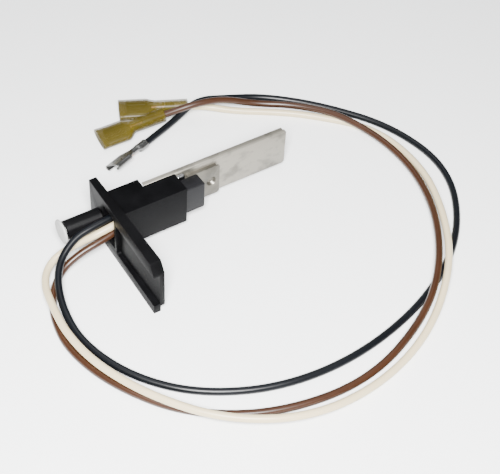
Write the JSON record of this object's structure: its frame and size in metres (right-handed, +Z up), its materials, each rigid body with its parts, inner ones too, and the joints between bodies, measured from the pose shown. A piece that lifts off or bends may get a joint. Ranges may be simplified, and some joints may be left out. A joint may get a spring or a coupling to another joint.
{
  "type": "vane switch probe",
  "caption": "Probe with a moulded flange and sleeve, a snap switch worked by a hinged metal paddle, a spring test pin and loose leads with push-on receptacles.",
  "frame": {"origin": "centre of the sleeve's root on the flange's inner (seating) face", "axes": "+X along the sleeve towards the paddle's tip, -Y along the flange's long half, +Z up from the table it lies on"},
  "size_m": [0.1616, 0.1633, 0.022],
  "materials": {
    "housing_black": "moulded, semi-gloss",
    "switch_black": "satin",
    "button_plastic": "satin",
    "paddle_metal": "rolled sheet, lightly stained",
    "pin_plastic": "matte grey",
    "spring_steel": "drawn wire",
    "steel_pin": "bright",
    "tinned_brass": "tinned",
    "contact_metal": "bright",
    "strands": "bunched copper strands",
    "solder": "dull solder",
    "black_insulation": "smooth, slightly glossy",
    "white_insulation": "smooth, slightly glossy",
    "brown_insulation": "smooth, slightly glossy",
    "boot_vinyl": "soft translucent"
  },
  "bodies": {
    "housing": {"flange_housing": "housing_black", "pin_spring": "spring_steel", "switch_case": "switch_black", "switch_cover": "switch_black", "closed_terminal": "tinned_brass", "open_terminal": "tinned_brass", "common_terminal": "tinned_brass", "fixed_contacts": "contact_metal", "hinge_pin": "steel_pin", "pin_keeper": "steel_pin", "inner_strands": "strands", "solder_joints": "solder", "black_lead": "black_insulation", "black_tail": "black_insulation", "black_receptacle": "tinned_brass", "black_strands": "strands", "white_lead": "white_insulation", "white_tail": "white_insulation", "white_receptacle": "tinned_brass", "white_strands": "strands", "brown_lead": "brown_insulation", "brown_tail": "brown_insulation", "brown_receptacle": "tinned_brass", "brown_strands": "strands", "white_boot": "boot_vinyl", "brown_boot": "boot_vinyl"},
    "vane": {"lever_plate": "paddle_metal", "paddle": "paddle_metal"},
    "button": {"switch_button": "button_plastic"},
    "blade": {"contact_blade": "contact_metal", "moving_contacts": "contact_metal"},
    "pin": {"test_pin": "pin_plastic", "pin_clip": "steel_pin"}
  },
  "joints": [
    {"name": "vane_swing", "type": "hinge", "parent": "housing", "child": "vane", "pos_m": [0.0279, 0.00185, 0], "axis": [0, 0, -1], "range_deg": [0, 6], "stiffness_Nm_per_rad": 0.004, "springref_deg": -2.86},
    {"name": "button_press", "type": "slide", "parent": "housing", "child": "button", "axis": [0, -1, 0], "range_m": [0, 0.0004]},
    {"name": "blade_tilt", "type": "hinge", "parent": "housing", "child": "blade", "pos_m": [0.0174, -0.0022, 0], "axis": [0, 0, -1], "range_deg": [0, 1.6]},
    {"name": "test_pin_push", "type": "slide", "parent": "housing", "child": "pin", "axis": [1, 0, 0], "range_m": [0, 0.0008], "stiffness_N_per_m": 300, "springref_m": -0.003, "deforming": ["pin_spring"]}
  ],
  "couplings": [
    {"joint": "button_press", "follows": "vane_swing", "m_per_rad": 0.0035},
    {"joint": "blade_tilt", "follows": "vane_swing", "ratio": 0.25}
  ]
}
